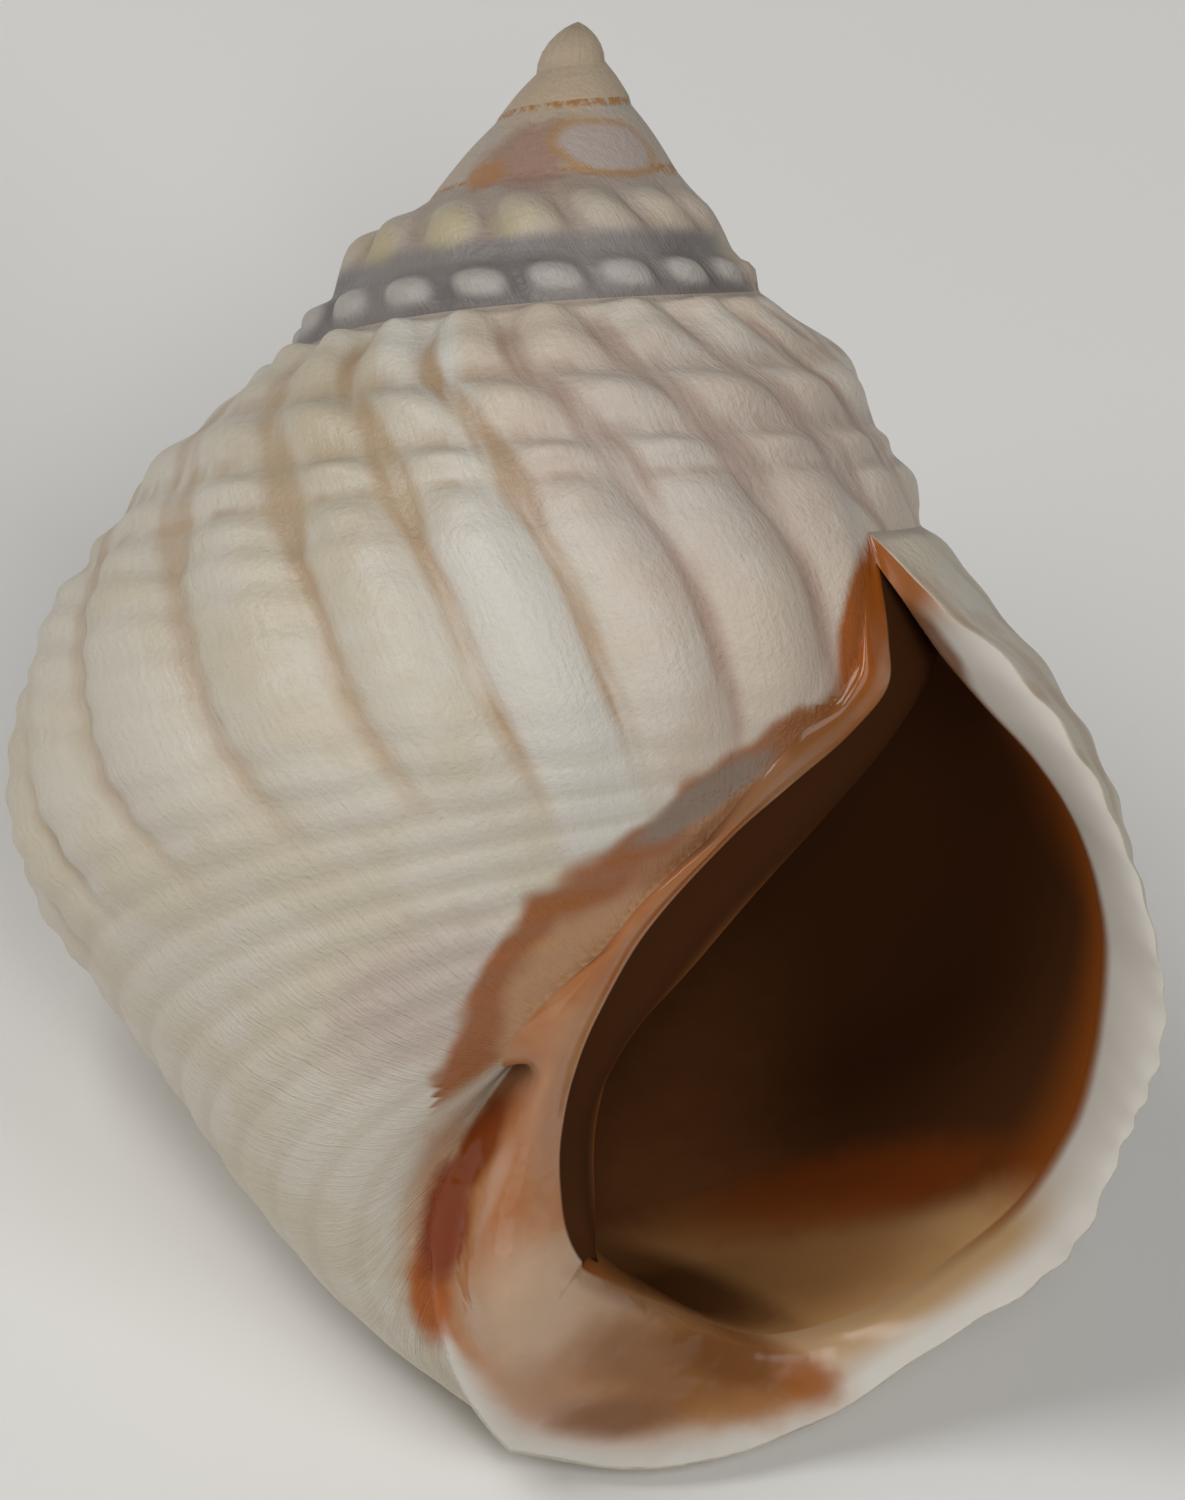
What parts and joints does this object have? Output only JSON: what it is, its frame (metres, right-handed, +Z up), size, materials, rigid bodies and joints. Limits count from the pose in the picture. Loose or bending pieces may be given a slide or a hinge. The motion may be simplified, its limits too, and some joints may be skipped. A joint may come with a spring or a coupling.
{
  "type": "periwinkle shell",
  "caption": "Empty coiled sea snail shell with raised ribs and knobs, a pointed spire and a wide open mouth, lying on its back.",
  "frame": {"origin": "under the middle of the shell's box, on the surface it lies on", "axes": "+Z up from the small flat on the back of the shell, -Y the side towards the base and the mouth, +Y the side of the spire, +X the side of the outer lip"},
  "size_m": [0.0154, 0.015, 0.0147],
  "materials": {
    "shell": "cream shell, worn satin outside, glossy dark chestnut inside"
  },
  "bodies": {
    "root": {"shell": "shell"}
  },
  "joints": []
}
